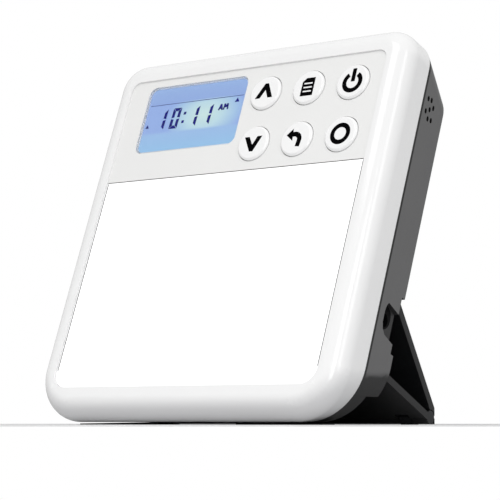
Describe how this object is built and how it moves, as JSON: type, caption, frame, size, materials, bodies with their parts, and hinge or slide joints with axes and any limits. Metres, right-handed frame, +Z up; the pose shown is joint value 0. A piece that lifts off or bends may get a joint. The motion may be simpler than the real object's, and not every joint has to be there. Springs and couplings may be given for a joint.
{
  "type": "light therapy lamp",
  "caption": "Leaning square light therapy lamp with a lit diffuser, a clock display with round keys above it, and a fold-out stand behind.",
  "frame": {"origin": "middle of the footprint, on the surface that the lamp stands on", "axes": "+Z up, -Y towards the person in front of the lamp, +X to the viewer's right"},
  "size_m": [0.151, 0.0797, 0.1537],
  "materials": {
    "white_shell": "glossy white moulded plastic",
    "grey_shell": "fine textured dark grey plastic",
    "panel_grey": "light grey satin plastic",
    "opal": "opal white diffusing acrylic",
    "clear_window": "clear display window",
    "lcd": "liquid crystal glass",
    "light_guide": "edge lit light guide",
    "inner_black": "black moulded plastic",
    "button_white": "glossy white moulded plastic",
    "board": "glass fibre circuit board",
    "chips": "moulded components",
    "steel": "plated steel",
    "white_tray": "white reflecting plastic",
    "led": "light emitting diode packages",
    "stand_black": "black moulded plastic",
    "rubber": "soft rubber",
    "brass": "sounder disc of brass"
  },
  "bodies": {
    "case": {"front_bezel": "white_shell", "rear_cover": "grey_shell", "control_panel": "panel_grey", "diffuser_panel": "opal", "lcd_window": "clear_window", "lcd_glass": "lcd", "lcd_backlight": "light_guide", "lcd_frame": "inner_black", "tact_switches": "inner_black", "control_board": "board", "board_components": "chips", "case_screws": "steel", "reflector_tray": "white_tray", "led_board": "board", "led_packages": "led", "dc_jack": "inner_black", "jack_contact": "steel", "sounder_frame": "inner_black", "sounder_disc": "brass", "foot_pads": "rubber"},
    "leg": {"stand_leg": "stand_black", "leg_hinge_pins": "steel", "brace_hinge_pin": "steel"},
    "brace": {"stand_brace": "stand_black"},
    "up_key": {"button_up": "button_white"},
    "menu_key": {"button_menu": "button_white"},
    "power_key": {"button_power": "button_white"},
    "down_key": {"button_down": "button_white"},
    "back_key": {"button_back": "button_white"},
    "select_key": {"button_select": "button_white"}
  },
  "joints": [
    {"name": "leg_fold", "type": "hinge", "parent": "case", "child": "leg", "pos_m": [0, 0.00626, 0.04957], "axis": [1, 0, 0], "range_deg": [-51, 0]},
    {"name": "brace_fold", "type": "hinge", "parent": "leg", "child": "brace", "pos_m": [0, 0.03086, 0.0029], "axis": [1, 0, 0], "range_deg": [-32.4, 0]},
    {"name": "up_press", "type": "slide", "parent": "case", "child": "up_key", "axis": [0, 0.9353, -0.3538], "range_m": [0, 0.0008], "stiffness_N_per_m": 900, "springref_m": -0.0004},
    {"name": "menu_press", "type": "slide", "parent": "case", "child": "menu_key", "axis": [0, 0.9353, -0.3538], "range_m": [0, 0.0008], "stiffness_N_per_m": 900, "springref_m": -0.0004},
    {"name": "power_press", "type": "slide", "parent": "case", "child": "power_key", "axis": [0, 0.9353, -0.3538], "range_m": [0, 0.0008], "stiffness_N_per_m": 900, "springref_m": -0.0004},
    {"name": "down_press", "type": "slide", "parent": "case", "child": "down_key", "axis": [0, 0.9353, -0.3538], "range_m": [0, 0.0008], "stiffness_N_per_m": 900, "springref_m": -0.0004},
    {"name": "back_press", "type": "slide", "parent": "case", "child": "back_key", "axis": [0, 0.9353, -0.3538], "range_m": [0, 0.0008], "stiffness_N_per_m": 900, "springref_m": -0.0004},
    {"name": "select_press", "type": "slide", "parent": "case", "child": "select_key", "axis": [0, 0.9353, -0.3538], "range_m": [0, 0.0008], "stiffness_N_per_m": 900, "springref_m": -0.0004}
  ],
  "couplings": [
    {"joint": "brace_fold", "follows": "leg_fold", "ratio": 0.6353}
  ]
}
